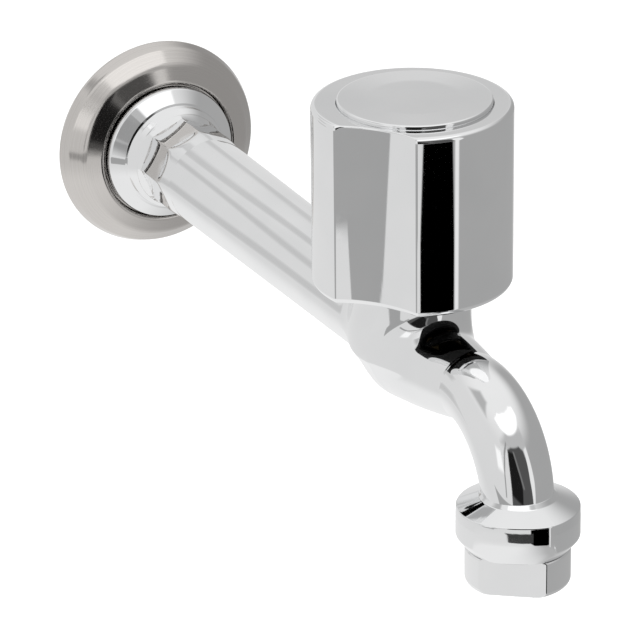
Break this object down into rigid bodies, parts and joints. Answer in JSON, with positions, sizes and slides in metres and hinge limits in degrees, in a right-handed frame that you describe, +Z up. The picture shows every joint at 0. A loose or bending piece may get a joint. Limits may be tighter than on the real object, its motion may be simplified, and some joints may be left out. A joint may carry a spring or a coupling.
{
  "type": "wall tap",
  "caption": "Chromed wall-mounted tap: long straight arm from a round wall plate, round handle with one finger flute over a rising screw valve, short down-turned fixed spout with aerator.",
  "frame": {"origin": "centre of the inlet thread where it meets the wall's face", "axes": "+Z up, +Y into the wall along the inlet thread, the arm reaches out along -Y, X = 0 is the plane of the arm and spout"},
  "size_m": [0.052, 0.2167, 0.097],
  "materials": {
    "chrome": "mirror-polished chrome plate on cast brass",
    "handle_chrome": "mirror-polished chrome plate",
    "stainless": "satin-polished spun stainless steel, slightly warm",
    "steel": "plain stainless steel",
    "brass": "turned brass",
    "rubber": "matt black rubber",
    "fibre": "dark vulcanised fibre",
    "packing": "woven white packing",
    "white_plastic": "moulded plastic"
  },
  "bodies": {
    "tap": {"tap_body": "chrome", "wall_escutcheon": "stainless", "flange_gasket": "fibre", "valve_seat": "brass", "bonnet_gasket": "fibre", "bonnet": "brass", "stem_packing": "packing", "gland_ring": "brass", "gland_nut": "brass", "aerator_housing": "chrome", "aerator_gasket": "rubber", "aerator_cage": "white_plastic", "flow_diffuser": "white_plastic", "mesh_screens": "steel", "flow_straightener": "white_plastic"},
    "washer_holder": {"washer_jumper": "brass", "seat_washer": "rubber", "washer_nut": "brass"},
    "handle": {"spindle": "brass", "handle_shell": "handle_chrome", "handle_spline_insert": "white_plastic", "handle_screw": "steel", "handle_screw_washer": "steel", "handle_cap": "handle_chrome", "cap_retaining_ring": "rubber"}
  },
  "joints": [
    {"name": "washer_lift", "type": "slide", "parent": "tap", "child": "washer_holder", "axis": [0, 0, 1], "range_m": [0, 0.005]},
    {"name": "handle_turn", "type": "hinge", "parent": "washer_holder", "child": "handle", "pos_m": [0, -0.1375, 0], "axis": [0, 0, 1], "range_deg": [0, 900]}
  ],
  "couplings": [
    {"joint": "washer_lift", "follows": "handle_turn", "m_per_rad": 0.0003183}
  ]
}
